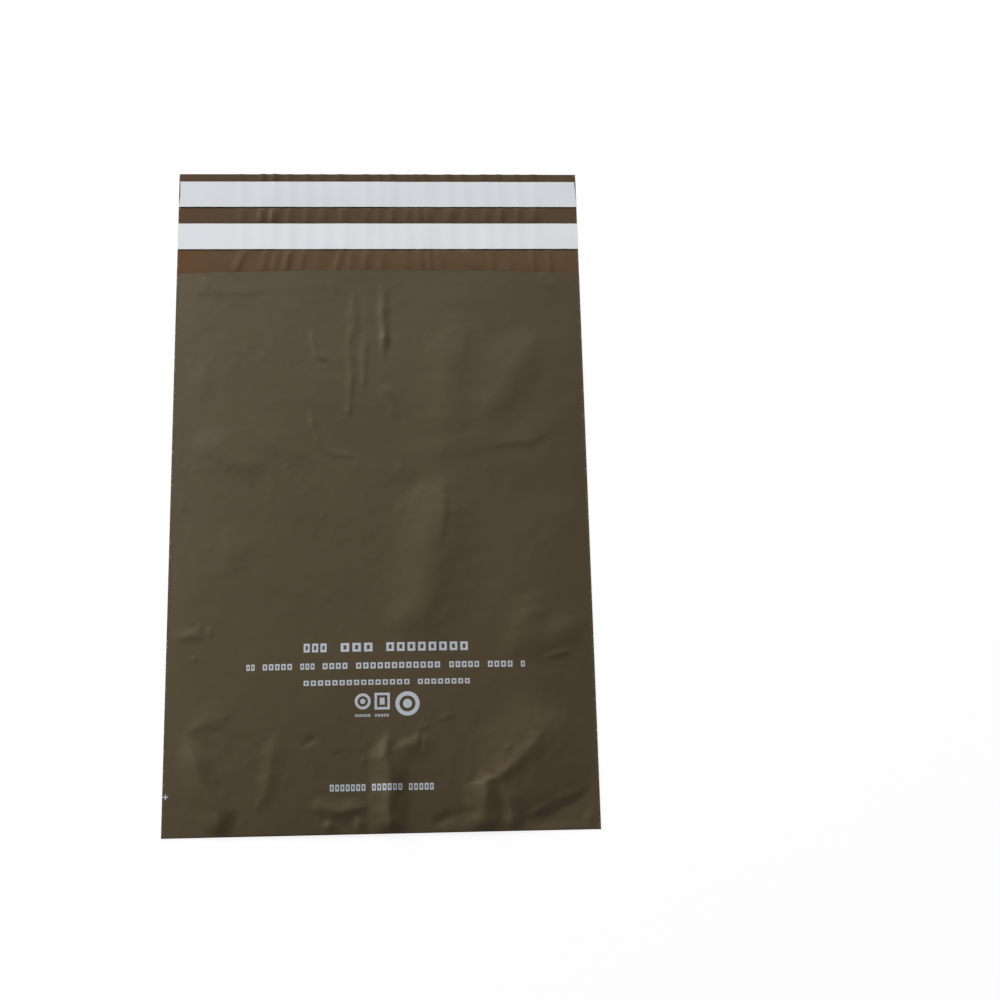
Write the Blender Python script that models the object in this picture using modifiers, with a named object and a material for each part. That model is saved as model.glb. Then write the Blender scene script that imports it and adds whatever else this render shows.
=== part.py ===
"""Empty poly mailer bag of compostable film, lying flat on its back with its flap open.

One sheet of film is folded at the bottom and welded along both sides, so the front panel and the back
panel make a pocket with an open mouth. The back panel runs on past the mouth as the flap, which carries
two glue bands under release liners: one to seal the bag and one to send it back.

Metres, +Z up. X is across the bag, +Y points from the bottom fold to the flap's free edge, and the
origin is on the table, in the middle of the bag's outline. The film's face with the strips is up.
"""

import math

import bmesh
import bpy
from mathutils import Vector

MM = 0.001

# The film bag.
BAG_WIDTH = 250 * MM
POCKET_LENGTH = 342.4 * MM
FILM_THICKNESS = 0.06 * MM
SIDE_WELD_WIDTH = 1.5 * MM
SIDE_WELD_HEIGHT = 0.3 * MM
BOTTOM_FOLD_HEIGHT = 1.0 * MM
LEAST_LAYER_GAP = 0.1 * MM

# The air left in the pocket lifts the front panel off the back panel.
POCKET_LOFT = 6.3 * MM
MOUTH_LOFT = 5.4 * MM
BOTTOM_RISE_LENGTH = 105 * MM
MOUTH_DROP_LENGTH = 90 * MM
CROWN_POWER = 2.8

# How sharp the folds' crests are, the share of its run in which a fold dies away at each end, and how near
# to the sides and to the bottom fold the film is held flat.
CREST_SHARPNESS = 1.5
FOLD_END_SHARE = 0.25
SIDE_HOLD_POWER = 10
BOTTOM_HOLD_LENGTH = 12 * MM

# The strips on the flap, counted from the mouth up to the flap's free edge.
MOUTH_TO_INNER_STRIP = 16.4 * MM
LINER_WIDTH = 17.2 * MM
STRIP_GAP = 11.4 * MM
FLAP_EDGE_MARGIN = 5.3 * MM
LINER_THICKNESS = 0.1 * MM
LINER_END_MARGIN = 0.3 * MM
LINER_END_SLANT = 0.6 * MM
GLUE_WIDTH = 12 * MM
GLUE_THICKNESS = 0.08 * MM
GLUE_END_MARGIN = 4 * MM
BOND_GAP = 0.05 * MM

# The gathers in the flap beside the strips, which hold the film flat. They wander and lean by a share of
# their pitch, and fade out towards the sides.
GATHER_HEIGHT = 0.5 * MM
GATHER_PITCH = 17 * MM
GATHER_WANDER = 0.35
GATHER_LEAN = 0.2
GATHER_HOLD_POWER = 4

# How finely the film is divided.
COLUMNS = 50
UPPER_ROWS = 26
LOWER_ROWS = 12
CRUMPLED_LENGTH = 75 * MM
FOLD_ROWS = 4
BAND_ROWS = 2

# Lengths that follow from the ones above.
HALF_WIDTH = BAG_WIDTH / 2
WELD_LINE = HALF_WIDTH - SIDE_WELD_WIDTH
FLAP_LENGTH = MOUTH_TO_INNER_STRIP + 2 * LINER_WIDTH + STRIP_GAP + FLAP_EDGE_MARGIN
BAG_LENGTH = POCKET_LENGTH + FLAP_LENGTH
BOTTOM_Y = -BAG_LENGTH / 2
MOUTH_Y = BOTTOM_Y + POCKET_LENGTH
FLAP_EDGE_Y = BAG_LENGTH / 2
FOLD_DEPTH = BOTTOM_FOLD_HEIGHT / 2
FOLD_START_Y = BOTTOM_Y + FOLD_DEPTH
INNER_STRIP_Y = MOUTH_Y + MOUTH_TO_INNER_STRIP
OUTER_STRIP_Y = INNER_STRIP_Y + LINER_WIDTH + STRIP_GAP
STRIP_EDGES = (INNER_STRIP_Y, OUTER_STRIP_Y)

# Folds of the front panel, from the photograph. Each has a crest line, whose points are given as the share
# of the half width from the middle and the share of the pocket's length from the bottom fold. Then come how
# far its slopes reach on the left and on the right of that run, and its height, below zero for a valley.
FOLDS = (
    # Upright folds that hang from the mouth.
    (((-0.14, 0.72), (-0.14, 0.81), (-0.13, 0.89), (-0.14, 0.98)), 5 * MM, 5 * MM, 0.6 * MM),
    (((0.02, 0.82), (0.02, 0.91), (0.02, 0.99)), 5 * MM, 5 * MM, 0.9 * MM),
    (((0.08, 0.72), (0.04, 0.76), (0.00, 0.78)), 5 * MM, 5 * MM, 0.6 * MM),
    (((-0.21, 0.82), (-0.30, 0.84), (-0.33, 0.87), (-0.34, 0.90)), 4 * MM, 6 * MM, 0.6 * MM),
    (((-0.25, 0.64), (-0.33, 0.70), (-0.33, 0.75)), 4 * MM, 6 * MM, 0.5 * MM),
    # Slanting drag marks at the left.
    (((-0.91, 0.69), (-0.76, 0.65), (-0.61, 0.62)), 7 * MM, 6 * MM, 0.6 * MM),
    (((-0.84, 0.77), (-0.92, 0.82)), 6 * MM, 6 * MM, 0.6 * MM),
    # Soft swells at the right.
    (((0.38, 0.67), (0.34, 0.73), (0.29, 0.78), (0.32, 0.84), (0.35, 0.87)), 16 * MM, 8 * MM, 1.3 * MM),
    (((0.43, 0.69), (0.43, 0.75), (0.48, 0.78), (0.61, 0.80), (0.65, 0.85)), 10 * MM, 13 * MM, 0.8 * MM),
    (((0.88, 0.95), (0.86, 0.99)), 7 * MM, 6 * MM, 0.7 * MM),
    (((0.58, 0.31), (0.74, 0.32), (0.86, 0.33), (0.99, 0.35)), 13 * MM, 6 * MM, 1.7 * MM),
    (((0.61, 0.33), (0.69, 0.35), (0.74, 0.38), (0.72, 0.40)), 11 * MM, 7 * MM, 1.0 * MM),
    # The long swell down the middle.
    (((0.03, 0.32), (0.19, 0.37), (0.24, 0.49), (0.30, 0.60), (0.27, 0.63)), 17 * MM, 24 * MM, 2.1 * MM),
    # The crumpled bottom.
    (((-0.73, -0.03), (-0.73, 0.04), (-0.77, 0.08), (-0.88, 0.18)), 10 * MM, 6 * MM, 2.3 * MM),
    (((-0.88, 0.18), (-0.71, 0.20), (-0.57, 0.20)), 7 * MM, 6 * MM, 1.3 * MM),
    (((-0.57, 0.04), (-0.51, 0.10), (-0.48, 0.17)), 6 * MM, 6 * MM, 0.9 * MM),
    (((0.04, -0.03), (0.03, 0.06), (0.04, 0.10), (0.02, 0.17)), 10 * MM, 7 * MM, 3.6 * MM),
    (((0.05, 0.13), (0.16, 0.15), (0.17, 0.17)), 6 * MM, 11 * MM, 1.0 * MM),
    (((-0.33, 0.03), (-0.28, 0.04), (-0.04, 0.04)), 6 * MM, 6 * MM, 1.8 * MM),
    (((-0.22, -0.03), (-0.24, 0.03)), 7 * MM, 6 * MM, 1.9 * MM),
    (((0.47, -0.03), (0.47, 0.08), (0.44, 0.10)), 10 * MM, 8 * MM, 2.4 * MM),
    (((0.28, 0.03), (0.45, 0.03)), 6 * MM, 8 * MM, -0.5 * MM),
    (((0.59, -0.02), (0.58, 0.05), (0.55, 0.08)), 6 * MM, 8 * MM, 1.5 * MM),
    (((0.59, 0.08), (0.64, 0.11), (0.73, 0.15), (0.81, 0.20)), 14 * MM, 30 * MM, 2.8 * MM),
    (((0.60, 0.02), (0.77, 0.04), (0.99, 0.08)), 7 * MM, 8 * MM, -1.3 * MM),
)


def bounded(share):
    """The share kept between 0 and 1."""
    return min(max(share, 0.0), 1.0)


def eased(share):
    """A share from 0 to 1 with soft ends."""
    share = bounded(share)
    return share * share * (3 - 2 * share)


def panel_point(across, up):
    """A point of the front panel from its shares of the half width and of the pocket's length."""
    return Vector((across * HALF_WIDTH, BOTTOM_Y + up * POCKET_LENGTH))


def crest_distance(point, crest):
    """A point's distance from a crest line, the share of the run there, and whether it is on the left."""
    corners = [panel_point(*place) for place in crest]
    nearest = (math.inf, 0.0, False)
    run = 0.0
    for start, end in zip(corners, corners[1:]):
        step = end - start
        share = bounded((point - start).dot(step) / step.length_squared)
        away = (point - start - share * step).length
        if away < nearest[0]:
            nearest = (away, run + share * step.length, step.cross(point - start) > 0)
        run += step.length
    away, along, on_left = nearest
    return away, along / run, on_left


def fold_height(point):
    """What all the folds add to the front panel at a point: a crest that dies away at both of its ends."""
    total = 0.0
    for crest, left_reach, right_reach, height in FOLDS:
        away, along, on_left = crest_distance(point, crest)
        slope = 1 - bounded(away / (left_reach if on_left else right_reach))
        ends = eased(along / FOLD_END_SHARE) * eased((1 - along) / FOLD_END_SHARE)
        total += height * slope**CREST_SHARPNESS * ends
    return total


def front_height(x, y):
    """How high the outside of the front panel lies above the table."""
    across = bounded(abs(x) / WELD_LINE)
    from_fold = y - FOLD_START_Y
    rise = 1 - (1 - bounded(from_fold / BOTTOM_RISE_LENGTH)) ** 2
    drop = eased(1 - (MOUTH_Y - y) / MOUTH_DROP_LENGTH)
    loft = BOTTOM_FOLD_HEIGHT + (POCKET_LOFT - BOTTOM_FOLD_HEIGHT) * rise
    loft -= (POCKET_LOFT - MOUTH_LOFT) * drop
    height = SIDE_WELD_HEIGHT + (loft - SIDE_WELD_HEIGHT) * (1 - across**CROWN_POWER)
    slack = eased(1 - across**SIDE_HOLD_POWER) * eased(from_fold / BOTTOM_HOLD_LENGTH)
    height += slack * fold_height(Vector((x, y)))
    return max(height, 2 * FILM_THICKNESS + LEAST_LAYER_GAP)


def strip_slack(y):
    """0 where a strip holds the flap flat or the mouth crosses it, up to 1 midway between those."""
    held = [MOUTH_Y]
    for low in STRIP_EDGES:
        held += [low, low + LINER_WIDTH]
    for low, high in zip(held[::2], held[1::2]):
        if low <= y <= high:
            return math.sin(math.pi * (y - low) / (high - low))
    if y > held[-1]:
        return bounded((y - held[-1]) / FLAP_EDGE_MARGIN)
    return 0.0


def flap_height(x, y):
    """How high the underside of the flap lies above the table: gathers that fade out towards the sides."""
    across = bounded(abs(x) / WELD_LINE)
    wander = GATHER_WANDER * math.sin(x / (3 * GATHER_PITCH)) + GATHER_LEAN * (y - MOUTH_Y) / FLAP_LENGTH
    wave = 0.5 - 0.5 * math.cos(2 * math.pi * (x / GATHER_PITCH + wander))
    return GATHER_HEIGHT * wave * strip_slack(y) * (1 - across**GATHER_HOLD_POWER)


def film_columns():
    """Where the columns of the film's grid cross the bag: each side weld is one column wide."""
    inner = [WELD_LINE * (2 * i / COLUMNS - 1) for i in range(COLUMNS + 1)]
    return [-HALF_WIDTH, *inner, HALF_WIDTH]


def flap_rows():
    """Where the rows of the film's grid cross the flap, from its free edge to the mouth."""
    edges = [MOUTH_Y]
    for low in STRIP_EDGES:
        edges += [low, low + LINER_WIDTH]
    edges.append(FLAP_EDGE_Y)
    rows = [FLAP_EDGE_Y]
    for high, low in zip(edges[:0:-1], edges[-2::-1]):
        steps = 1 if high - low == LINER_WIDTH else BAND_ROWS
        rows += [high + (low - high) * (i + 1) / steps for i in range(steps)]
    return rows


def film_rows():
    """The rows of the sheet in the order that the web runs, as a place along the bag and a wrap.

    The wrap is 0 on the flap and the back panel, grows round the bottom fold, and is 1 on the front.
    """
    middle = FOLD_START_Y + CRUMPLED_LENGTH
    pocket = [MOUTH_Y + (middle - MOUTH_Y) * i / UPPER_ROWS for i in range(UPPER_ROWS)]
    pocket += [middle + (FOLD_START_Y - middle) * i / LOWER_ROWS for i in range(LOWER_ROWS + 1)]
    rows = [(y, 0.0) for y in flap_rows()[:-1] + pocket]
    for i in range(1, FOLD_ROWS):
        angle = math.pi * i / FOLD_ROWS
        rows.append((FOLD_START_Y - FOLD_DEPTH * math.sin(angle), (1 - math.cos(angle)) / 2))
    return rows + [(y, 1.0) for y in reversed(pocket)]


def film_point(x, y, wrap):
    """Where a point of the web lies once the sheet is folded, on the outer face of the film."""
    if y > MOUTH_Y:
        return Vector((x, y, flap_height(x, y)))
    if abs(x) > WELD_LINE:
        return Vector((x, y, SIDE_WELD_HEIGHT / 2))
    return Vector((x, y, wrap * front_height(x, max(y, FOLD_START_Y))))


def finish(name, colour, roughness, coat=0.0):
    """A plain material from a display colour (0 to 255)."""
    material = bpy.data.materials.new(name)
    material.use_nodes = True
    shader = material.node_tree.nodes["Principled BSDF"]
    linear = [((c / 255 + 0.055) / 1.055) ** 2.4 for c in colour]
    shader.inputs["Base Color"].default_value = (*linear, 1.0)
    shader.inputs["Roughness"].default_value = roughness
    shader.inputs["Metallic"].default_value = 0.0
    shader.inputs["Coat Weight"].default_value = coat
    return material


def film_bag(collection):
    """The bag itself: one sheet, folded at the bottom, its side edges welded, with the film's thickness."""
    columns = film_columns()
    rows = film_rows()
    web = bmesh.new()
    bmesh.ops.create_grid(web, x_segments=len(columns) - 1, y_segments=len(rows) - 1, size=1.0)
    for vertex in web.verts:
        column = round((vertex.co.x + 1) / 2 * (len(columns) - 1))
        row = round((vertex.co.y + 1) / 2 * (len(rows) - 1))
        vertex.co = film_point(columns[column], *rows[row])
    bmesh.ops.remove_doubles(web, verts=web.verts, dist=FILM_THICKNESS / 10)
    mesh = bpy.data.meshes.new("film_bag")
    web.to_mesh(mesh)
    web.free()
    mesh.materials.append(finish("brown_film", (85, 76, 60), 0.42, 0.1))
    mesh.shade_smooth()
    bag = bpy.data.objects.new("film_bag", mesh)
    collection.objects.link(bag)
    wall = bag.modifiers.new("film_thickness", "SOLIDIFY")
    wall.thickness = FILM_THICKNESS
    wall.offset = -1
    wall.use_even_offset = False
    return bag


def flat_strip(collection, name, outline, bottom, thickness, material):
    """A flat strip with the given outline, lying with its underside at a height."""
    curve = bpy.data.curves.new(name, "CURVE")
    curve.dimensions = "2D"
    curve.fill_mode = "BOTH"
    curve.extrude = thickness / 2
    spline = curve.splines.new("POLY")
    spline.points.add(len(outline) - 1)
    for point, (x, y) in zip(spline.points, outline):
        point.co = (x, y, 0, 1)
    spline.use_cyclic_u = True
    curve.materials.append(material)
    strip = bpy.data.objects.new(name, curve)
    strip.location.z = bottom + thickness / 2
    collection.objects.link(strip)
    return strip


def glue_band(collection, name, liner_y):
    """A band of pressure-sensitive glue along the middle of its liner's place."""
    half_length = HALF_WIDTH - GLUE_END_MARGIN
    low = liner_y + (LINER_WIDTH - GLUE_WIDTH) / 2
    high = low + GLUE_WIDTH
    outline = [(-half_length, low), (half_length, low), (half_length, high), (-half_length, high)]
    material = finish(name, (226, 222, 204), 0.3)
    return flat_strip(collection, name, outline, FILM_THICKNESS + BOND_GAP, GLUE_THICKNESS, material)


def release_liner(collection, name, liner_y, slant):
    """A peel-off liner over a glue band, cut a little slanted at both ends."""
    left = -HALF_WIDTH + LINER_END_MARGIN
    right = HALF_WIDTH - LINER_END_MARGIN
    top = liner_y + LINER_WIDTH
    outline = [(left, liner_y), (right, liner_y), (right - slant, top), (left + slant, top)]
    bottom = FILM_THICKNESS + 2 * BOND_GAP + GLUE_THICKNESS
    material = finish(name, (214, 218, 222), 0.5)
    return flat_strip(collection, name, outline, bottom, LINER_THICKNESS, material)


def main():
    for old in list(bpy.data.objects):
        bpy.data.objects.remove(old, do_unlink=True)
    collection = bpy.data.collections.new("poly_mailer_bag")
    bpy.context.scene.collection.children.link(collection)
    film_bag(collection)
    glue_band(collection, "inner_glue_band", INNER_STRIP_Y)
    release_liner(collection, "inner_release_liner", INNER_STRIP_Y, 0.0)
    glue_band(collection, "outer_glue_band", OUTER_STRIP_Y)
    release_liner(collection, "outer_release_liner", OUTER_STRIP_Y, LINER_END_SLANT)


main()
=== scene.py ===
"""The looks of an empty poly mailer bag: creased brown film, pale print and two white release liners."""

import math

import bmesh
import bpy
import numpy as np
from mathutils import Matrix, Vector, noise


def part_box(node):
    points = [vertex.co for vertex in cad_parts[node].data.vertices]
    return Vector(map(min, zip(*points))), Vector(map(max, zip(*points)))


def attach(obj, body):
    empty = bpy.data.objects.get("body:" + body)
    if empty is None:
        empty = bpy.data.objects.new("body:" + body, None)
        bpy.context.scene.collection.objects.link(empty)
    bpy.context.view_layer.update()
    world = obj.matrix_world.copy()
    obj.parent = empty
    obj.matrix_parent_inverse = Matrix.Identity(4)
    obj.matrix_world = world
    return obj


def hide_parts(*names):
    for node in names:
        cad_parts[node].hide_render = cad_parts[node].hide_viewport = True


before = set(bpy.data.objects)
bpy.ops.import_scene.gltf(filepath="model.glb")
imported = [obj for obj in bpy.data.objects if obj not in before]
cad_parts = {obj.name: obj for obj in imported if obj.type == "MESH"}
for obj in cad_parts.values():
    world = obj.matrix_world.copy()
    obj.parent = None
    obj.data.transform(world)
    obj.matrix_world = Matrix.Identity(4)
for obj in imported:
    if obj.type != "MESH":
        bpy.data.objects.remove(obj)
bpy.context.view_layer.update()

MM = 0.001

# Sizes of the bag, the same as in its solids.
FILM_LOW, FILM_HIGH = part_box("film_bag")
HALF_WIDTH = FILM_HIGH[0]
BOTTOM_Y = FILM_LOW[1]
FLAP_EDGE_Y = FILM_HIGH[1]
POCKET_LENGTH = 342.4 * MM
FILM_THICKNESS = 0.06 * MM
SIDE_WELD_WIDTH = 1.5 * MM
SIDE_WELD_HEIGHT = 0.3 * MM
BOTTOM_FOLD_HEIGHT = 1.0 * MM
LEAST_LAYER_GAP = 0.1 * MM
POCKET_LOFT = 6.3 * MM
MOUTH_LOFT = 5.4 * MM
BOTTOM_RISE_LENGTH = 105 * MM
MOUTH_DROP_LENGTH = 90 * MM
CROWN_POWER = 2.8
FLAP_EDGE_MARGIN = 5.3 * MM

WELD_LINE = HALF_WIDTH - SIDE_WELD_WIDTH
MOUTH_Y = BOTTOM_Y + POCKET_LENGTH
FOLD_DEPTH = BOTTOM_FOLD_HEIGHT / 2
FOLD_START_Y = BOTTOM_Y + FOLD_DEPTH
LINERS = ("inner_release_liner", "outer_release_liner")
LINER_BOXES = {name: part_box(name) for name in LINERS}
INNER_STRIP_LOW_Y = LINER_BOXES[LINERS[0]][0][1]
INNER_STRIP_HIGH_Y = LINER_BOXES[LINERS[0]][1][1]

# How finely the grids of the film and the liners are divided.
COLUMNS = 240
POCKET_ROWS = 322
FOLD_ROWS = 6
FLAP_ROWS = 60
LINER_COLUMNS = 320
LINER_ROWS = 8

# Points of the film nearer than the first are merged. The next two are how closely a point has to meet a
# column or the mouth's row. Faces above the fourth belong to the front panel.
MERGE_DISTANCE = 0.01 * MM
COLUMN_TOLERANCE = 0.1 * MM
MOUTH_TOLERANCE = 0.0001 * MM
FRONT_FACE_HEIGHT = 0.05 * MM
SHARP_ANGLE = math.radians(60)

# How far the liners' ends stay inside the film's sides, in millimetres at the strip's lower edge, middle and
# upper edge: first the left end, then the right one.
LINER_END_MARGINS = {
    "inner_release_liner": ((0.1, 0.1, 0.1), (0.1, 0.1, 0.1)),
    "outer_release_liner": ((0.1, 0.9, 0.6), (0.1, 0.4, 0.9)),
}

# How folds run. A wander is a pitch and a reach, and shifts the crests to and fro.
WANDERS = ((18 * MM, 2.4 * MM), (5 * MM, 0.7 * MM))
# Without a seed Blender takes the wanders' from the clock.
WANDER_SEED = 1
CREST_SHARPNESS = 1.5
CREST_ROUNDING = 0.15
FOLD_END_SHARE = 0.3
FOLD_END_WIDTH = 0.35
# Folds vary along their crests, the more so the fewer millimetres they reach.
PATCH_PITCH = 9 * MM
PATCH_STRENGTH = 0.6
PATCHED_REACH = 5
# Swells, small crumples and the bead along the welds.
SWELL_SOFTNESS = 4.5 * MM
SWELL_RING_POINTS = 6
SWELL_PITCH = 38 * MM
SWELL_HEIGHT = 0.45 * MM
CRUMPLE_PITCH = 13 * MM
CRUMPLE_HEIGHT = 0.08 * MM
CRUMPLE_LEVEL = 0.4
CRUMPLE_DEPTH = 2
CRUMPLED_LENGTH = 95 * MM
CRUMPLED_EXTRA = 1.2
WELD_BEAD = 0.3 * MM
WELD_BEAD_PITCH = 1.6 * MM
WELD_BEAD_SLANT = 3
# How the film gets its slack: hardly any at the welds, little at the bottom fold.
SIDE_SLACK_POWER = 14
FOLD_SLACK = 0.25
FOLD_SLACK_GAIN = 6
STRIP_SLACK_POWER = 0.4
FLAP_SIDE_POWER = 8
FLAP_SKIN_HEIGHT = 0.15 * MM
FLAP_SKIN_LEVEL = 0.5
# How far pleats and fans run on past their ends, where a fold dies away, in millimetres.
PLEAT_RUN_ON = 20
FAN_RUN_ON_BELOW = 4
FAN_RUN_ON_ABOVE = 9
# The flap's pleats as they show through the liners, in millimetres, and the liners' own cockle.
LINER_PLEAT_RUN = (340, 420)
LINER_PLEAT_REACH = 6
LINER_PLEAT_HEIGHT = 0.125
LINER_COCKLE_PITCH = 30 * MM
LINER_COCKLE_HEIGHT = 0.2 * MM
LINER_COCKLE_LEVEL = 0.6
# Which slice of the noise each unevenness takes.
SEEDS = {"patches": 3.3, "swells": 1.7, "crumples": 4.1, "flap": 9.3, "liners": 5.9, "weld": 2.2}

# Rows of words in the print, in millimetres up from the bottom fold: bottom, top, and each word's left, right
# and number of letters.
PRINT_ROWS = (
    (104.0, 109.1, ((-45.3, -30.7, 3), (-23.9, -3.6, 3), (2.6, 51.8, 8))),
    (94.0, 97.5, (
        (-78.2, -72.7, 2), (-68.8, -51.0, 5), (-47.1, -38.1, 3), (-34.2, -18.9, 4),
        (-14.9, 34.9, 12), (39.2, 57.6, 5), (61.7, 77.2, 4), (81.1, 84.3, 1),
    )),
    (84.5, 87.5, ((-45.2, 17.0, 15), (20.8, 52.0, 8))),
    (24.2, 28.0, ((-30.0, -9.0, 7), (-6.0, 12.0, 6), (15.0, 30.0, 5))),
    (66.2, 67.6, ((-15.6, -6.4, 6), (-4.0, 4.4, 5))),
)
# Round marks: middle, and rings from inner to outer radius. A disc's inner radius is below zero.
PRINT_RINGS = (
    (-11.0, 75.0, ((3.0, 4.6), (-1.0, 1.5))),
    (14.8, 73.4, ((4.6, 7.0), (-1.0, 2.6))),
)
# Bars: left, right, bottom, top. Four frame the square mark, one fills it, and two cross for the register.
PRINT_BARS = (
    (-4.2, 4.6, 78.4, 79.8), (-4.2, 4.6, 70.2, 71.6), (-4.2, -2.8, 70.2, 79.8), (3.2, 4.6, 70.2, 79.8),
    (-1.2, 1.6, 73.0, 77.0), (-124.6, -121.6, 22.8, 23.4), (-123.4, -122.8, 21.6, 24.6),
)

# One letter block, in shares of its pitch: soft left and right sides, then the hollow's, and the stroke in
# shares of the letter's height.
BLOCK_LEFT = (0.0, 0.08)
BLOCK_RIGHT = (0.80, 0.72)
HOLLOW_LEFT = (0.22, 0.30)
HOLLOW_RIGHT = (0.58, 0.50)
STROKE_SHARE = 0.25
INK_EDGE = 0.12 * MM
INK_COVER = 0.94

# Display colours, 0 to 255.
FILM_DARK = (79, 67, 46)
FILM_LIGHT = (84, 71, 50)
FLAP_BROWN = (85, 63, 34)
# Painted light: the flap's left end, warmer where the light from the left falls on it.
PAINTED_LIT_END_BROWN = (94, 58, 18)
HELD_BROWN = (66, 48, 27)
WELD_BROWN = (158, 150, 134)
INK = (196, 203, 212)
LINER_WHITES = {
    "inner_release_liner": ((216, 220, 224), (227, 230, 234)),
    "outer_release_liner": ((207, 211, 216), (218, 221, 226)),
}
GLUE_DIM = (222, 218, 198)
GLUE_BRIGHT = (232, 229, 212)

# Finishes: roughness, its spread and the size of its patches, and the strength and depth of the face's bumps.
FILM_FINISH = (0.5, 0.1, 9 * MM, 0.4, 0.3 * MM)
LINER_FINISH = (0.5, 0.1, 15 * MM, 0.1, 0.05 * MM)
GLUE_FINISH = (0.25, 0.15, 2 * MM, 0.3, 0.03 * MM)
FILM_GLOSS = 0.28
# Sizes of the soft patches of colour and of the bumps.
FILM_CLOUD = 60 * MM
FILM_SKIN = 2.6 * MM
FILM_SKIN_SHARE = 0.25
FILM_DENTS = 11 * MM
LINER_CLOUD = 40 * MM
LINER_FIBRES = 1.5 * MM
GLUE_CLOUD = 3 * MM
GLUE_PITS = 0.8 * MM
# The flap's left end, painted warmer where the light from the left falls on it, the film held by the strips,
# and the welds' specks. Covers are shares of a colour laid over another.
PAINTED_LIT_END_FROM = 0.80 * HALF_WIDTH
PAINTED_LIT_END_TO = 1.05 * HALF_WIDTH
HELD_COVER = 0.55
MOUTH_EDGE = 0.3 * MM
WELD_RIM_OUTER = 0.6 * MM
WELD_RIM_INNER = 1.3 * MM
WELD_SPECK_SIZE = 1.6 * MM
WELD_SPECK_RAMP = (0.56, 0.66)
WELD_COVER = 0.5

# The camera, fitted to the bag's corners in the photograph, in metres; its lens and sensor in millimetres.
CAMERA_PLACE = (0.0150, -0.2522, 0.9317)
CAMERA_BACK = (-0.05876, -0.25202, 0.96594)
CAMERA_UP = (0.01012, 0.96741, 0.25302)
CAMERA_LENS = 57.6
CAMERA_SENSOR = 36.0

# The lamps, in metres and watts, then the surround and the floor.
KEY_PLACE = (-2.3, 2.22, 1.0)
KEY_SIZE = 1.2
KEY_POWER = 152
TOP_PLACE = (0.2, 1.1, 0.8)
TOP_SIZE = 0.5
TOP_POWER = 6.0
WHITE = (1.0, 1.0, 1.0, 1.0)
WORLD_STRENGTH = 0.25
FLOOR_HALF_SIZE = 3.0
FLOOR_DROP = 0.1 * MM
FLOOR_PALE = (0.9, 0.9, 0.9, 1.0)
FLOOR_ROUGHNESS = 0.9
FLOOR_GLOSS = 0.1
FLOOR_GLOW = 1.08
FLOOR_GLOW_SHARE = 0.8

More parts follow.
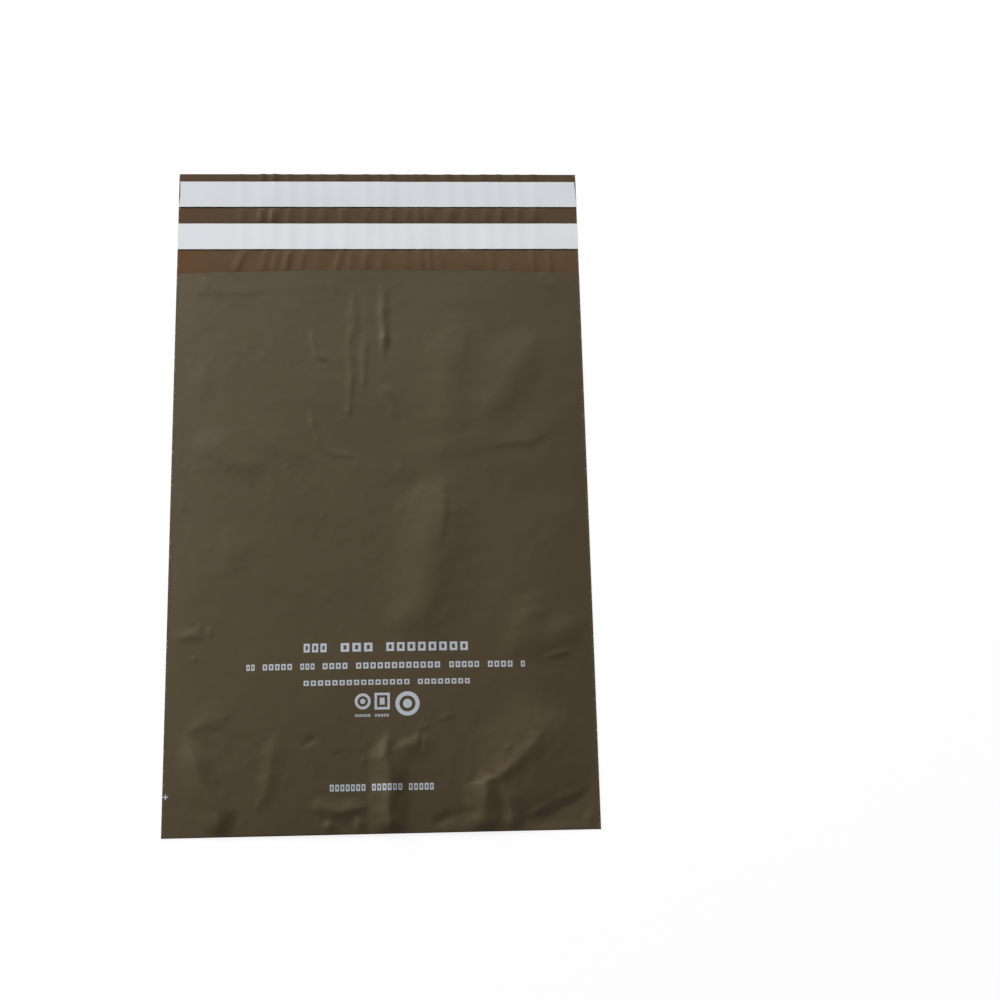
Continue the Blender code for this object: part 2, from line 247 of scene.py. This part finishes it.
# Folds of the front panel: the crest line in millimetres from the middle and up from the bottom fold, how far
# the slopes reach on the left and on the right of that run, and the height. Below zero it is a valley.
FOLDS = (
    # Upright folds under the mouth.
    (((-18, 245), (-18, 279), (-16, 306), (-18, 335)), 4.2, 3.6, 0.47),
    (((-8, 307), (-11, 329)), 3.0, 4.8, 0.19),
    (((-7, 260), (-9, 265), (-9, 306)), 3.0, 3.0, 0.34),
    (((3, 281), (2, 311), (2, 338)), 4.2, 4.2, 0.87),
    (((11, 242), (6, 261), (0, 270)), 5.4, 3.6, 0.43),
    (((-18, 246), (-20, 260)), 3.0, 2.4, 0.24),
    (((-27, 281), (-38, 287), (-41, 297), (-43, 307)), 2.4, 5.4, 0.48),
    (((-11, 221), (-26, 224), (-37, 230), (-41, 240), (-41, 259)), 3.0, 4.8, 0.34),
    (((-26, 325), (-30, 338)), 2.4, 3.0, 0.23),
    # Drag marks at the upper left.
    (((-91, 286), (-85, 281)), 2.4, 2.4, 0.13),
    (((-73, 287), (-64, 281)), 2.4, 2.4, 0.13),
    (((-61, 283), (-52, 280)), 2.4, 2.4, 0.13),
    (((-105, 330), (-109, 340)), 3.0, 3.0, 0.17),
    (((-120, 335), (-124, 339)), 2.4, 3.0, -0.13),
    (((-123, 330), (-55, 329)), 9.6, 3.6, 0.21),
    # A crease at the upper right.
    (((66, 228), (86, 231), (105, 237)), 7.2, 3.6, 0.25),
    # Small dimples in a row across the middle.
    (((-119, 215), (-118, 221)), 2.4, 3.0, 0.13),
    (((-111, 215), (-110, 219)), 2.4, 2.4, 0.11),
    (((-58, 215), (-55, 218)), 2.4, 2.4, 0.11),
    (((-15, 214), (-13, 219)), 2.4, 3.0, 0.13),
    (((-6, 214), (-3, 217)), 2.4, 2.4, 0.11),
    (((10, 213), (14, 218)), 2.4, 2.4, 0.11),
    (((50, 214), (53, 218)), 2.4, 3.0, 0.13),
    (((62, 213), (65, 215)), 2.4, 2.4, 0.11),
    (((78, 214), (80, 218)), 2.4, 3.0, 0.13),
    # Middle, near the sides.
    (((93, 100), (114, 104)), 2.4, 2.4, 0.41),
    (((-127, 113), (-108, 117), (-106, 124)), 6.0, 5.4, 0.55),
    (((-118, 188), (-121, 204)), 3.0, 3.6, 0.34),
    (((-99, 114), (-100, 121)), 2.4, 2.4, 0.30),
    (((-107, 99), (-108, 104)), 2.4, 2.4, 0.30),
    (((-34, 184), (-35, 192)), 1.8, 2.4, 0.14),
    (((-10, 194), (-11, 201)), 1.8, 2.4, 0.17),
    (((35, 165), (38, 191), (38, 211)), 6.0, 3.6, 0.34),
    (((-42, 149), (-44, 155)), 1.8, 2.4, 0.14),
    (((-30, 134), (-34, 141)), 2.4, 2.4, 0.18),
    # The crumpled bottom.
    (((-114, 58), (-102, 65), (-84, 70)), 8.4, 7.2, 0.51),
    (((-72, 12), (-68, 21), (-64, 36), (-60, 61)), 6.0, 8.4, 0.73),
    (((-47, 50), (-38, 55)), 3.0, 2.4, -0.32),
    (((-29, 45), (-21, 47)), 1.8, 1.8, -0.19),
    (((-12, 38), (-11, 43)), 1.8, 1.8, 0.20),
    (((5, -24), (4, 22), (4, 33), (3, 47), (2, 62)), 11.4, 10.8, 3.08),
    (((6, 46), (20, 51), (21, 60)), 4.8, 10.8, 0.91),
    (((22, 45), (23, 59)), 2.4, 2.4, -0.39),
    (((19, 59), (28, 61)), 3.6, 1.8, 0.21),
    (((32, 63), (42, 66)), 3.6, 1.8, 0.29),
    (((-42, 9), (-40, 14), (-35, 15), (-14, 14), (-6, 15)), 7.2, 7.2, 1.07),
    (((-27, -8), (-30, 11)), 7.2, 5.4, 1.17),
    (((-13, -8), (-14, 11)), 4.2, 4.2, 0.91),
    (((59, -12), (58, 11), (59, 27), (55, 37)), 10.8, 10.8, 2.04),
    (((58, 27), (65, 31)), 1.8, 3.0, 0.33),
    (((36, 11), (57, 11)), 3.6, 7.8, -0.39),
    (((28, 3), (37, 10), (40, 15)), 4.2, 4.8, -0.57),
    (((74, -8), (72, 17), (69, 29)), 5.4, 7.8, 1.31),
    (((58, 26), (68, 32), (78, 39), (84, 45), (88, 52), (93, 59)), 5.4, 7.2, 0.73),
    (((71, 46), (76, 50)), 1.8, 1.8, 0.27),
    (((83, 53), (88, 56)), 1.8, 1.8, 0.27),
    (((77, 8), (96, 14), (109, 21), (126, 29)), 4.2, 5.4, 0.40),
    (((121, -6), (118, 11)), 6.0, 3.6, 0.97),
    (((-120, 21), (-119, 28)), 2.4, 2.4, 0.18),
)
# Wide, soft swells of the same panel, given in the same way.
SWELLS = (
    (((47, 225), (44, 248), (43, 267), (45, 290), (51, 313)), 20.4, 14.4, 1.15),
    (((54, 232), (73, 260), (86, 280), (94, 310)), 20.4, 15.6, 1.15),
    (((-116, 240), (-91, 223), (-67, 210)), 10.8, 9.6, 0.95),
    (((-73, 241), (-43, 216)), 8.4, 7.2, 0.53),
    (((-103, 261), (-117, 283)), 7.2, 6.0, 0.63),
    (((8, 221), (31, 225), (64, 231), (97, 240), (128, 246)), 9.6, 7.2, 0.42),
    (((0, 198), (15, 203), (30, 212)), 9.0, 7.8, -0.62),
    (((110, 324), (107, 344)), 8.4, 7.2, 0.53),
    (((112, 179), (107, 195)), 8.4, 7.2, 0.53),
    (
        ((2, 105), (14, 121), (23, 126), (27, 146), (30, 169), (36, 192), (37, 206), (34, 218)),
        21.6, 27.6, 2.29,
    ),
    (((66, 104), (93, 109), (108, 112), (126, 121)), 15.6, 9.6, 1.37),
    (((74, 112), (86, 121), (92, 130), (90, 138)), 12.0, 8.4, 1.20),
    (((-83, 154), (-87, 179)), 13.2, 12.0, 0.58),
    (((57, 20), (78, 39), (91, 54), (108, 71)), 25.2, 39.6, 2.68),
    (((68, -2), (98, 10), (110, 16), (137, 30)), 8.4, 15.6, -1.47),
)
# Creases that run straight, given in the same way.
STRAIGHT_FOLDS = (
    (((-91, -10), (-93, 14), (-101, 27), (-108, 45), (-114, 61)), 12.0, 9.6, 2.40),
)
# Pleats of the flap: place at the inner strip and at the free edge, left and right reach, and height.
PLEATS = (
    (-84, -87, 4.8, 3.6, 0.38),
    (-75, -72, 3.6, 3.6, 0.79),
    (-68, -65, 3.0, 5.4, 0.90),
    (-56, -56, 3.6, 4.2, 0.50),
    (-45, -45, 3.6, 4.2, 0.43),
    (-34, -36, 4.8, 4.8, 0.48),
    (-20, -26, 3.0, 4.8, 0.54),
    (-8, -8, 4.2, 4.8, 0.42),
    (-1, 1, 4.2, 2.4, 0.42),
    (8, 8, 3.0, 3.6, 0.54),
    (17, 18, 2.4, 3.0, 0.36),
    (28, 22, 3.6, 3.0, 0.54),
    (33, 28, 3.6, 4.8, 0.54),
    (46, 43, 4.8, 4.8, 0.67),
    (57, 52, 3.0, 4.2, 0.48),
    (69, 65, 3.6, 4.2, 0.50),
    (78, 75, 3.6, 3.6, 0.58),
    (88, 87, 3.0, 3.0, 0.48),
    (98, 98, 4.8, 3.6, 0.58),
)
# Folds that fan out from the inner strip: place at the mouth and at the strip, then as above.
FANS = (
    (-91, -80, 4.8, 3.6, 0.48),
    (-74, -68, 3.6, 3.6, 0.36),
    (-67, -61, 3.6, 3.6, 0.36),
    (-59, -54, 4.2, 2.4, 0.67),
    (-50, -46, 3.0, 3.0, 0.30),
    (-39, -37, 3.6, 3.6, 0.22),
    (-29, -22, 2.4, 4.2, 0.48),
    (-19, -17, 2.4, 3.6, 0.29),
    (-10, -7, 3.6, 4.8, 0.43),
    (1, 2, 4.2, 4.2, 0.34),
    (18, 13, 4.8, 3.6, 0.38),
    (28, 22, 3.6, 2.4, 0.43),
    (33, 29, 2.4, 2.4, 0.38),
    (40, 34, 2.4, 3.6, 0.38),
    (64, 47, 4.2, 5.4, 0.50),
    (72, 68, 3.6, 3.6, 0.36),
    (83, 78, 3.6, 3.6, 0.29),
    (98, 94, 2.4, 3.0, 0.48),
    (108, 104, 2.4, 4.2, 0.60),
    (117, 114, 3.0, 3.0, 0.30),
)


def eased(share):
    """Shares from 0 to 1 with soft ends."""
    share = np.clip(share, 0, 1)
    return share * share * (3 - 2 * share)


def wandered(x, y):
    """Points shifted a little to and fro, so that folds run unevenly."""
    noise.seed_set(WANDER_SEED)
    for pitch, reach in WANDERS:
        shifts = [noise.noise_vector((a / pitch, b / pitch, 0)) for a, b in zip(x, y)]
        shift = reach * np.array([vector[:2] for vector in shifts])
        x, y = x + shift[:, 0], y + shift[:, 1]
    return x, y


def fold_height(x, y, folds, patches=0.0):
    """What folds add at each point: a crest, a slope on either side of it, and both ends dying away."""
    total = np.zeros_like(x)
    for crest, left_reach, right_reach, height in folds:
        points = MM * np.array(crest, dtype=float) + (0, BOTTOM_Y)
        steps = np.diff(points, axis=0)
        lengths = np.hypot(steps[:, 0], steps[:, 1])
        away = np.full_like(x, np.inf)
        along, left = np.zeros_like(x), np.zeros_like(x)
        for start, step, length, run in zip(points, steps, lengths, np.cumsum(lengths) - lengths):
            off_x, off_y = x - start[0], y - start[1]
            share = np.clip((off_x * step[0] + off_y * step[1]) / length**2, 0, 1)
            distance = np.hypot(off_x - share * step[0], off_y - share * step[1])
            nearer = distance < away
            away = np.where(nearer, distance, away)
            along = np.where(nearer, (run + share * length) / lengths.sum(), along)
            left = np.where(nearer, step[0] * off_y > step[1] * off_x, left)
        ends = eased(along / FOLD_END_SHARE) * eased((1 - along) / FOLD_END_SHARE)
        reach = MM * np.where(left, left_reach, right_reach) * (FOLD_END_WIDTH + (1 - FOLD_END_WIDTH) * ends)
        rounding = CREST_ROUNDING * reach
        away = np.hypot(away, rounding) - rounding
        uneven = 1 + patches * min(1, PATCHED_REACH / max(left_reach, right_reach))
        total += height * MM * ends * uneven * (1 - np.clip(away / reach, 0, 1)) ** CREST_SHARPNESS
    return total


def unevenness(x, y, cell, seed):
    """Soft unevenness of the film, from about -1 to 1, in cells of a given size."""
    return np.array([noise.noise((a / cell, b / cell, seed)) for a, b in zip(x, y)])


def front_height(x, y):
    """How high the outside of the front panel lies above the table."""
    across = np.clip(np.abs(x) / WELD_LINE, 0, 1)
    rise = 1 - (1 - np.clip((y - FOLD_START_Y) / BOTTOM_RISE_LENGTH, 0, 1)) ** 2
    drop = eased(1 - (MOUTH_Y - y) / MOUTH_DROP_LENGTH)
    loft = BOTTOM_FOLD_HEIGHT + (POCKET_LOFT - BOTTOM_FOLD_HEIGHT) * rise
    loft -= (POCKET_LOFT - MOUTH_LOFT) * drop
    crown = 1 - across**CROWN_POWER
    height = SIDE_WELD_HEIGHT + (loft - SIDE_WELD_HEIGHT) * crown
    slack = eased(1 - across**SIDE_SLACK_POWER) * eased(FOLD_SLACK + rise * FOLD_SLACK_GAIN)
    patches = PATCH_STRENGTH * unevenness(x, y, PATCH_PITCH, SEEDS["patches"])
    x_shifted, y_shifted = wandered(x, y)
    height += slack * fold_height(x_shifted, y_shifted, FOLDS, patches)
    height += slack * fold_height(x, y, STRAIGHT_FOLDS)
    # The mean over a ring of shifted points softens the swells.
    for turn in np.linspace(0, 2 * np.pi, SWELL_RING_POINTS, endpoint=False):
        around = SWELL_SOFTNESS * np.array([np.cos(turn), np.sin(turn)])
        swell = fold_height(x_shifted + around[0], y_shifted + around[1], SWELLS)
        height += slack * swell / SWELL_RING_POINTS
    height += slack * SWELL_HEIGHT * unevenness(x, y, SWELL_PITCH, SEEDS["swells"])
    crumpled = 1 + CRUMPLED_EXTRA * eased(1 - (y - BOTTOM_Y) / CRUMPLED_LENGTH)
    crumples = np.abs(unevenness(x, y, CRUMPLE_PITCH, SEEDS["crumples"]))
    height += slack * crumpled * CRUMPLE_HEIGHT * (CRUMPLE_LEVEL - CRUMPLE_DEPTH * crumples)
    return np.maximum(height, 2 * FILM_THICKNESS + LEAST_LAYER_GAP)


def strip_slack(y):
    """0 where a strip holds the flap flat or the mouth crosses it, 1 between those."""
    held = [MOUTH_Y]
    for name in LINERS:
        held += [LINER_BOXES[name][0][1], LINER_BOXES[name][1][1]]
    slack = np.zeros_like(y)
    for low, high in zip(held[::2], held[1::2]):
        between = (y > low) & (y < high)
        arch = np.sin(np.pi * np.clip((y - low) / (high - low), 0, 1)) ** STRIP_SLACK_POWER
        slack = np.where(between, arch, slack)
    return np.where(y > held[-1], np.sqrt(np.clip((y - held[-1]) / FLAP_EDGE_MARGIN, 0, 1)), slack)


def up_from_fold(y):
    """Millimetres up from the bottom fold."""
    return (y - BOTTOM_Y) / MM


def flap_height(x, y):
    """How high the flap lies above the table: pleats that the strips hold down, and folds that fan out."""
    strip_up, mouth_up = up_from_fold(INNER_STRIP_LOW_Y), up_from_fold(MOUTH_Y)
    pleat_ends = (strip_up - PLEAT_RUN_ON, up_from_fold(FLAP_EDGE_Y) + PLEAT_RUN_ON)
    fan_ends = (mouth_up - FAN_RUN_ON_BELOW, strip_up + FAN_RUN_ON_ABOVE)
    pleats = [(((low, pleat_ends[0]), (high, pleat_ends[1])), *rest) for low, high, *rest in PLEATS]
    fans = [(((low, fan_ends[0]), (high, fan_ends[1])), *rest) for low, high, *rest in FANS]
    above = y > INNER_STRIP_LOW_Y
    folds = np.where(above, fold_height(x, y, pleats), fold_height(x, y, fans))
    across = np.clip(np.abs(x) / WELD_LINE, 0, 1)
    folds += FLAP_SKIN_HEIGHT * (FLAP_SKIN_LEVEL + unevenness(x, y, CRUMPLE_PITCH, SEEDS["flap"]))
    return np.maximum(folds, 0) * strip_slack(y) * (1 - across**FLAP_SIDE_POWER)


def film_rows():
    """The rows of the sheet in the order that the web runs: place along the bag, and wrap round the fold."""
    flap = np.linspace(FLAP_EDGE_Y, MOUTH_Y, FLAP_ROWS + 1)
    pocket = np.linspace(FOLD_START_Y, MOUTH_Y, POCKET_ROWS + 1)
    turn = np.pi * np.arange(1, FOLD_ROWS) / FOLD_ROWS
    places = np.concatenate([flap, [FOLD_START_Y], FOLD_START_Y - FOLD_DEPTH * np.sin(turn), pocket])
    wraps = np.concatenate([np.zeros(len(flap) + 1), (1 - np.cos(turn)) / 2, np.ones(len(pocket))])
    return places, wraps


def film_places(x, y, wrap):
    """Where the points of the web lie once the sheet is folded."""
    z = wrap * front_height(x, np.maximum(y, FOLD_START_Y))
    z = np.where(np.abs(x) > WELD_LINE + COLUMN_TOLERANCE, SIDE_WELD_HEIGHT / 2, z)
    bead = WELD_BEAD * np.abs(unevenness(x + WELD_BEAD_SLANT * y, y, WELD_BEAD_PITCH, SEEDS["weld"]))
    z = np.where((np.abs(x) > HALF_WIDTH - COLUMN_TOLERANCE) & (wrap == 1), z + bead, z)
    return np.where(y > MOUTH_Y + MOUTH_TOLERANCE, flap_height(x, y), z)


def make_film():
    """The whole sheet of film: flap, back panel, bottom fold and front panel in one mesh."""
    inner = np.linspace(-WELD_LINE, WELD_LINE, COLUMNS + 1)
    columns = np.concatenate([[-HALF_WIDTH], inner, [HALF_WIDTH]])
    rows, wraps = film_rows()
    web = bmesh.new()
    bmesh.ops.create_grid(web, x_segments=len(columns) - 1, y_segments=len(rows) - 1, size=1.0)
    mesh = bpy.data.meshes.new("creased_film")
    web.to_mesh(mesh)
    web.free()
    grid = np.empty(3 * len(mesh.vertices))
    mesh.vertices.foreach_get("co", grid)
    grid = (grid.reshape(-1, 3) + 1) / 2
    column = np.rint(grid[:, 0] * (len(columns) - 1)).astype(int)
    row = np.rint(grid[:, 1] * (len(rows) - 1)).astype(int)
    x, y = columns[column], rows[row]
    z = film_places(x, y, wraps[row])
    mesh.vertices.foreach_set("co", np.stack([x, y, z], axis=1).ravel())
    web = bmesh.new()
    web.from_mesh(mesh)
    bmesh.ops.remove_doubles(web, verts=web.verts, dist=MERGE_DISTANCE)
    for face in web.faces:
        face.smooth = True
        centre = face.calc_center_median()
        printed = centre.z > FRONT_FACE_HEIGHT and face.normal.z > 0 and centre.y < MOUTH_Y
        face.material_index = 0 if printed else 1
    web.to_mesh(mesh)
    web.free()
    mesh.set_sharp_from_angle(angle=SHARP_ANGLE)
    film = bpy.data.objects.new("creased_film", mesh)
    bpy.context.scene.collection.objects.link(film)
    return film


def make_liner(name):
    """A release liner: a thin strip with cut ends, cockled a little where it crosses the flap's pleats."""
    (_, low_y, low_z), (_, high_y, high_z) = LINER_BOXES[name]
    strip = bmesh.new()
    bmesh.ops.create_grid(strip, x_segments=LINER_COLUMNS, y_segments=LINER_ROWS, size=1.0)
    for vertex in strip.verts:
        across, up = vertex.co.x, (vertex.co.y + 1) / 2
        margin = np.interp(up, (0, 0.5, 1), LINER_END_MARGINS[name][0 if across < 0 else 1])
        x = across * (HALF_WIDTH - margin * MM)
        y = low_y + up * (high_y - low_y)
        vertex.co = (x, y, high_z)
    xs, ys, _ = np.array([vertex.co for vertex in strip.verts]).T
    start, end = LINER_PLEAT_RUN
    shape = (LINER_PLEAT_REACH, LINER_PLEAT_REACH, LINER_PLEAT_HEIGHT)
    lifts = fold_height(xs, ys, [(((low, start), (high, end)), *shape) for low, high, *_ in PLEATS])
    cockle = LINER_COCKLE_LEVEL + unevenness(xs, ys, LINER_COCKLE_PITCH, SEEDS["liners"])
    lifts += LINER_COCKLE_HEIGHT * cockle
    for vertex, lift in zip(strip.verts, lifts):
        vertex.co.z += max(lift, 0)
    for face in strip.faces:
        face.smooth = True
    mesh = bpy.data.meshes.new(f"cockled_{name}")
    strip.to_mesh(mesh)
    strip.free()
    liner = bpy.data.objects.new(f"cockled_{name}", mesh)
    bpy.context.scene.collection.objects.link(liner)
    body = liner.modifiers.new("paper", "SOLIDIFY")
    body.thickness = high_z - low_z
    body.offset = -1
    thick = bpy.data.meshes.new_from_object(liner.evaluated_get(bpy.context.evaluated_depsgraph_get()))
    thick.set_sharp_from_angle(angle=SHARP_ANGLE)
    liner.modifiers.clear()
    liner.data = thick
    return liner


def srgb(red, green, blue):
    """A display colour (0 to 255) as the linear colour that a socket takes."""
    return (*(((c / 255 + 0.055) / 1.055) ** 2.4 for c in (red, green, blue)), 1.0)


class Value:
    """A number inside a material, wrapped so that sums of them are written as plain expressions."""

    def __init__(self, material, socket):
        self.material = material
        self.socket = socket

    def maths(self, operation, first, second=0.0):
        return self.material.node("ShaderNodeMath", {"operation": operation}, [first, second])

    def __add__(self, other):
        return self.maths("ADD", self, other)

    def __sub__(self, other):
        return self.maths("SUBTRACT", self, other)

    def __rsub__(self, other):
        return self.maths("SUBTRACT", other, self)

    def __mul__(self, other):
        return self.maths("MULTIPLY", self, other)

    def __truediv__(self, other):
        return self.maths("DIVIDE", self, other)

    def __pow__(self, other):
        return self.maths("POWER", self, other)

    def __abs__(self):
        return self.maths("ABSOLUTE", self)

    def fraction(self):
        return self.maths("FRACT", self)

    def at_least(self, other):
        return self.maths("MAXIMUM", self, other)

    def at_most(self, other):
        return self.maths("MINIMUM", self, other)

    __radd__ = __add__
    __rmul__ = __mul__


class Material:
    """A node material under construction."""

    def __init__(self, name):
        self.block = bpy.data.materials.new(name)
        self.block.use_nodes = True
        self.tree = self.block.node_tree
        self.shader = self.tree.nodes["Principled BSDF"]

    def node(self, kind, settings=None, inputs=None, output=0):
        """Adds a node: its settings first, then its sockets, by name or in order."""
        made = self.tree.nodes.new(kind)
        for key, setting in (settings or {}).items():
            setattr(made, key, setting)
        pairs = inputs.items() if isinstance(inputs, dict) else enumerate(inputs or [])
        for key, value in pairs:
            self.feed(made.inputs[key], value)
        return Value(self, made.outputs[output])

    def feed(self, socket, value):
        """Links a socket to a value, or sets it to a constant."""
        if isinstance(value, Value):
            self.tree.links.new(value.socket, socket)
        else:
            socket.default_value = value

    def surface(self, **inputs):
        """Sets the shader's own sockets, named with _ for a space."""
        for name, value in inputs.items():
            self.feed(self.shader.inputs[name.replace("_", " ")], value)

    def place(self):
        """The x, y and z of the surface, in metres."""
        where = self.node("ShaderNodeTexCoord", output="Object")
        return [self.node("ShaderNodeSeparateXYZ", inputs=[where], output=axis) for axis in "XYZ"]

    def grain(self, size, detail=2.0):
        """Soft noise from 0 to 1 with features of a given size in metres."""
        where = self.node("ShaderNodeTexCoord", output="Object")
        sockets = {"Vector": where, "Scale": 1 / size, "Detail": detail}
        return self.node("ShaderNodeTexNoise", inputs=sockets, output="Fac")

    def blend(self, share, first, second):
        """One colour turning into another."""
        return self.node("ShaderNodeMix", {"data_type": "RGBA"}, {0: share, 6: first, 7: second}, output=2)

    def step(self, value, low, high):
        """0 on the side of low and 1 on that of high, with a soft ramp between. Low may be the larger."""
        sockets = {"Value": value, "From Min": low, "From Max": high}
        return self.node("ShaderNodeMapRange", {"interpolation_type": "SMOOTHSTEP"}, sockets)

    def within(self, value, low, high):
        """1 from low to high, in millimetres, with thin soft edges."""
        above = self.step(value, low * MM - INK_EDGE, low * MM + INK_EDGE)
        below = self.step(value, high * MM + INK_EDGE, high * MM - INK_EDGE)
        return above * below

    def patch(self, x, y, left, right, low, high):
        """A rectangle of print, in millimetres."""
        return self.within(x, left, right) * self.within(y, low, high)

    def bump(self, height, strength, distance):
        """A Normal from a height map."""
        sockets = {"Height": height, "Strength": strength, "Distance": distance}
        return self.node("ShaderNodeBump", inputs=sockets)

    def finish(self, colour, finish, face, **more):
        """A colour with patchy roughness and a bumpy face."""
        roughness, spread, patches, strength, depth = finish
        self.surface(
            Base_Color=colour,
            Roughness=roughness + spread * self.grain(patches),
            Normal=self.bump(face, strength, depth),
            **more,
        )


def letter_blocks(material, x, y, left, right, low, high, letters):
    """A word's place, filled with a row of small hollow blocks."""
    pitch = MM * (right - left) / letters
    place = ((x - left * MM) / pitch).fraction()
    blocks = material.step(place, *BLOCK_LEFT) * material.step(place, *BLOCK_RIGHT)
    stroke = STROKE_SHARE * (high - low)
    hollow = material.step(place, *HOLLOW_LEFT) * material.step(place, *HOLLOW_RIGHT)
    blocks = blocks * (1 - hollow * material.within(y, low + stroke, high - stroke))
    return blocks * material.patch(x, y, left, right, low, high)


def pale_print(material, x, y):
    """Where the front carries ink: rows of blocks, three round or square marks, and a register cross."""
    up = y - BOTTOM_Y
    words = [
        letter_blocks(material, x, up, left, right, low, high, letters)
        for low, high, row in PRINT_ROWS for left, right, letters in row
    ]
    ink = sum(words[1:], words[0])
    for middle_x, middle_up, bands in PRINT_RINGS:
        away = ((x - middle_x * MM) ** 2 + (up - middle_up * MM) ** 2) ** 0.5
        for inner, outer in bands:
            ink = ink + material.within(away, inner, outer)
    for left, right, low, high in PRINT_BARS:
        ink = ink.at_least(material.patch(x, up, left, right, low, high))
    return ink.at_most(1.0)


def film_material(name, printed):
    """Satin brown film, warmer where a single layer lies, painted light on the flap's left end, pale weld
    specks, pale ink.
    """
    material = Material(name)
    x, y, _ = material.place()
    film = material.blend(material.grain(FILM_CLOUD), srgb(*FILM_DARK), srgb(*FILM_LIGHT))
    # Painted light: the flap's left end is painted warmer where the light from the left falls on it.
    painted_lit_end = material.step(x * -1, PAINTED_LIT_END_FROM, PAINTED_LIT_END_TO)
    held = material.step(y, INNER_STRIP_LOW_Y, INNER_STRIP_HIGH_Y)
    single = material.blend(painted_lit_end, srgb(*FLAP_BROWN), srgb(*PAINTED_LIT_END_BROWN))
    single = material.blend(held * HELD_COVER, single, srgb(*HELD_BROWN))
    flap = material.step(y, MOUTH_Y - MOUTH_EDGE, MOUTH_Y + MOUTH_EDGE)
    colour = material.blend(flap, film, single)
    rim = material.step(abs(x), HALF_WIDTH - WELD_RIM_INNER, HALF_WIDTH - WELD_RIM_OUTER)
    melted = material.step(material.grain(WELD_SPECK_SIZE, detail=1.0), *WELD_SPECK_RAMP) * rim
    colour = material.blend(melted * WELD_COVER, colour, srgb(*WELD_BROWN))
    if printed:
        colour = material.blend(pale_print(material, x, y) * INK_COVER, colour, srgb(*INK))
    face = FILM_SKIN_SHARE * material.grain(FILM_SKIN, detail=3.0) + material.grain(FILM_DENTS)
    material.finish(colour, FILM_FINISH, face, Specular_IOR_Level=FILM_GLOSS)
    return material.block


def liner_material(name):
    """Cool white release liner with a soft, slightly uneven face."""
    dim, bright = LINER_WHITES[name]
    material = Material(f"white_{name}")
    colour = material.blend(material.grain(LINER_CLOUD), srgb(*dim), srgb(*bright))
    material.finish(colour, LINER_FINISH, material.grain(LINER_FIBRES))
    return material.block


def glue_material():
    """Pale, tacky glue."""
    material = Material("pale_glue")
    colour = material.blend(material.grain(GLUE_CLOUD), srgb(*GLUE_DIM), srgb(*GLUE_BRIGHT))
    material.finish(colour, GLUE_FINISH, material.grain(GLUE_PITS))
    return material.block


def make_floor():
    """A pale floor that keeps the bag's soft shadow and shows white to the camera."""
    mesh = bpy.data.meshes.new("floor")
    plane = bmesh.new()
    bmesh.ops.create_grid(plane, x_segments=1, y_segments=1, size=FLOOR_HALF_SIZE)
    plane.to_mesh(mesh)
    plane.free()
    floor = bpy.data.objects.new("floor", mesh)
    floor.location.z = -FLOOR_DROP
    bpy.context.scene.collection.objects.link(floor)
    material = Material("white_floor")
    material.surface(Base_Color=FLOOR_PALE, Roughness=FLOOR_ROUGHNESS, Specular_IOR_Level=FLOOR_GLOSS)
    kinds = ("Camera", "Glossy", "Transmission")
    rays = [material.node("ShaderNodeLightPath", output=f"Is {kind} Ray") for kind in kinds]
    seen = sum(rays).at_most(1.0)
    glow = material.node("ShaderNodeEmission", inputs={"Color": WHITE, "Strength": FLOOR_GLOW})
    lit = Value(material, material.shader.outputs[0])
    mixed = material.node("ShaderNodeMixShader", inputs=[FLOOR_GLOW_SHARE * seen, lit, glow])
    material.feed(material.tree.nodes["Material Output"].inputs["Surface"], mixed)
    mesh.materials.append(material.block)


def add_softbox(name, place, size, power):
    """A large square lamp at a place, turned to the middle of the bag."""
    lamp = bpy.data.lights.new(name, "AREA")
    lamp.size = size
    lamp.energy = power
    box = bpy.data.objects.new(name, lamp)
    box.location = place
    box.rotation_euler = (-Vector(place)).to_track_quat("-Z", "Y").to_euler()
    bpy.context.scene.collection.objects.link(box)


def light_studio():
    """Soft key light from the upper left, a nearer one behind the flap and an even pale surround."""
    add_softbox("key_softbox", KEY_PLACE, KEY_SIZE, KEY_POWER)
    add_softbox("top_softbox", TOP_PLACE, TOP_SIZE, TOP_POWER)
    world = bpy.data.worlds.new("pale_studio")
    world.use_nodes = True
    surround = world.node_tree.nodes["Background"]
    surround.inputs["Color"].default_value = WHITE
    surround.inputs["Strength"].default_value = WORLD_STRENGTH
    bpy.context.scene.world = world
    bpy.context.scene.view_settings.view_transform = "Standard"


def add_camera():
    """Looks down at the bag from in front of its bottom edge, 75 degrees above the table."""
    camera = bpy.data.cameras.new("camera")
    camera.sensor_width = CAMERA_SENSOR
    camera.lens = CAMERA_LENS
    camera.dof.use_dof = False
    back = Vector(CAMERA_BACK).normalized()
    up = Vector(CAMERA_UP)
    right = up.cross(back).normalized()
    up = back.cross(right)
    turn = Matrix((right, up, back)).transposed()
    eye = bpy.data.objects.new("camera", camera)
    eye.matrix_world = Matrix.Translation(CAMERA_PLACE) @ turn.to_4x4()
    bpy.context.scene.collection.objects.link(eye)
    bpy.context.scene.camera = eye


def dress(piece, node):
    """Puts a detailed piece in the place of a solid."""
    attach(piece, "root")
    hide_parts(node)


def main():
    """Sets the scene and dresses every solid."""
    add_camera()
    light_studio()
    make_floor()
    film = make_film()
    film.data.materials.append(film_material("printed_film", True))
    film.data.materials.append(film_material("plain_film", False))
    dress(film, "film_bag")
    for name in LINERS:
        liner = make_liner(name)
        liner.data.materials.append(liner_material(name))
        dress(liner, name)
    glue = glue_material()
    for name in ("inner_glue_band", "outer_glue_band"):
        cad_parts[name].material_slots[0].material = glue


main()
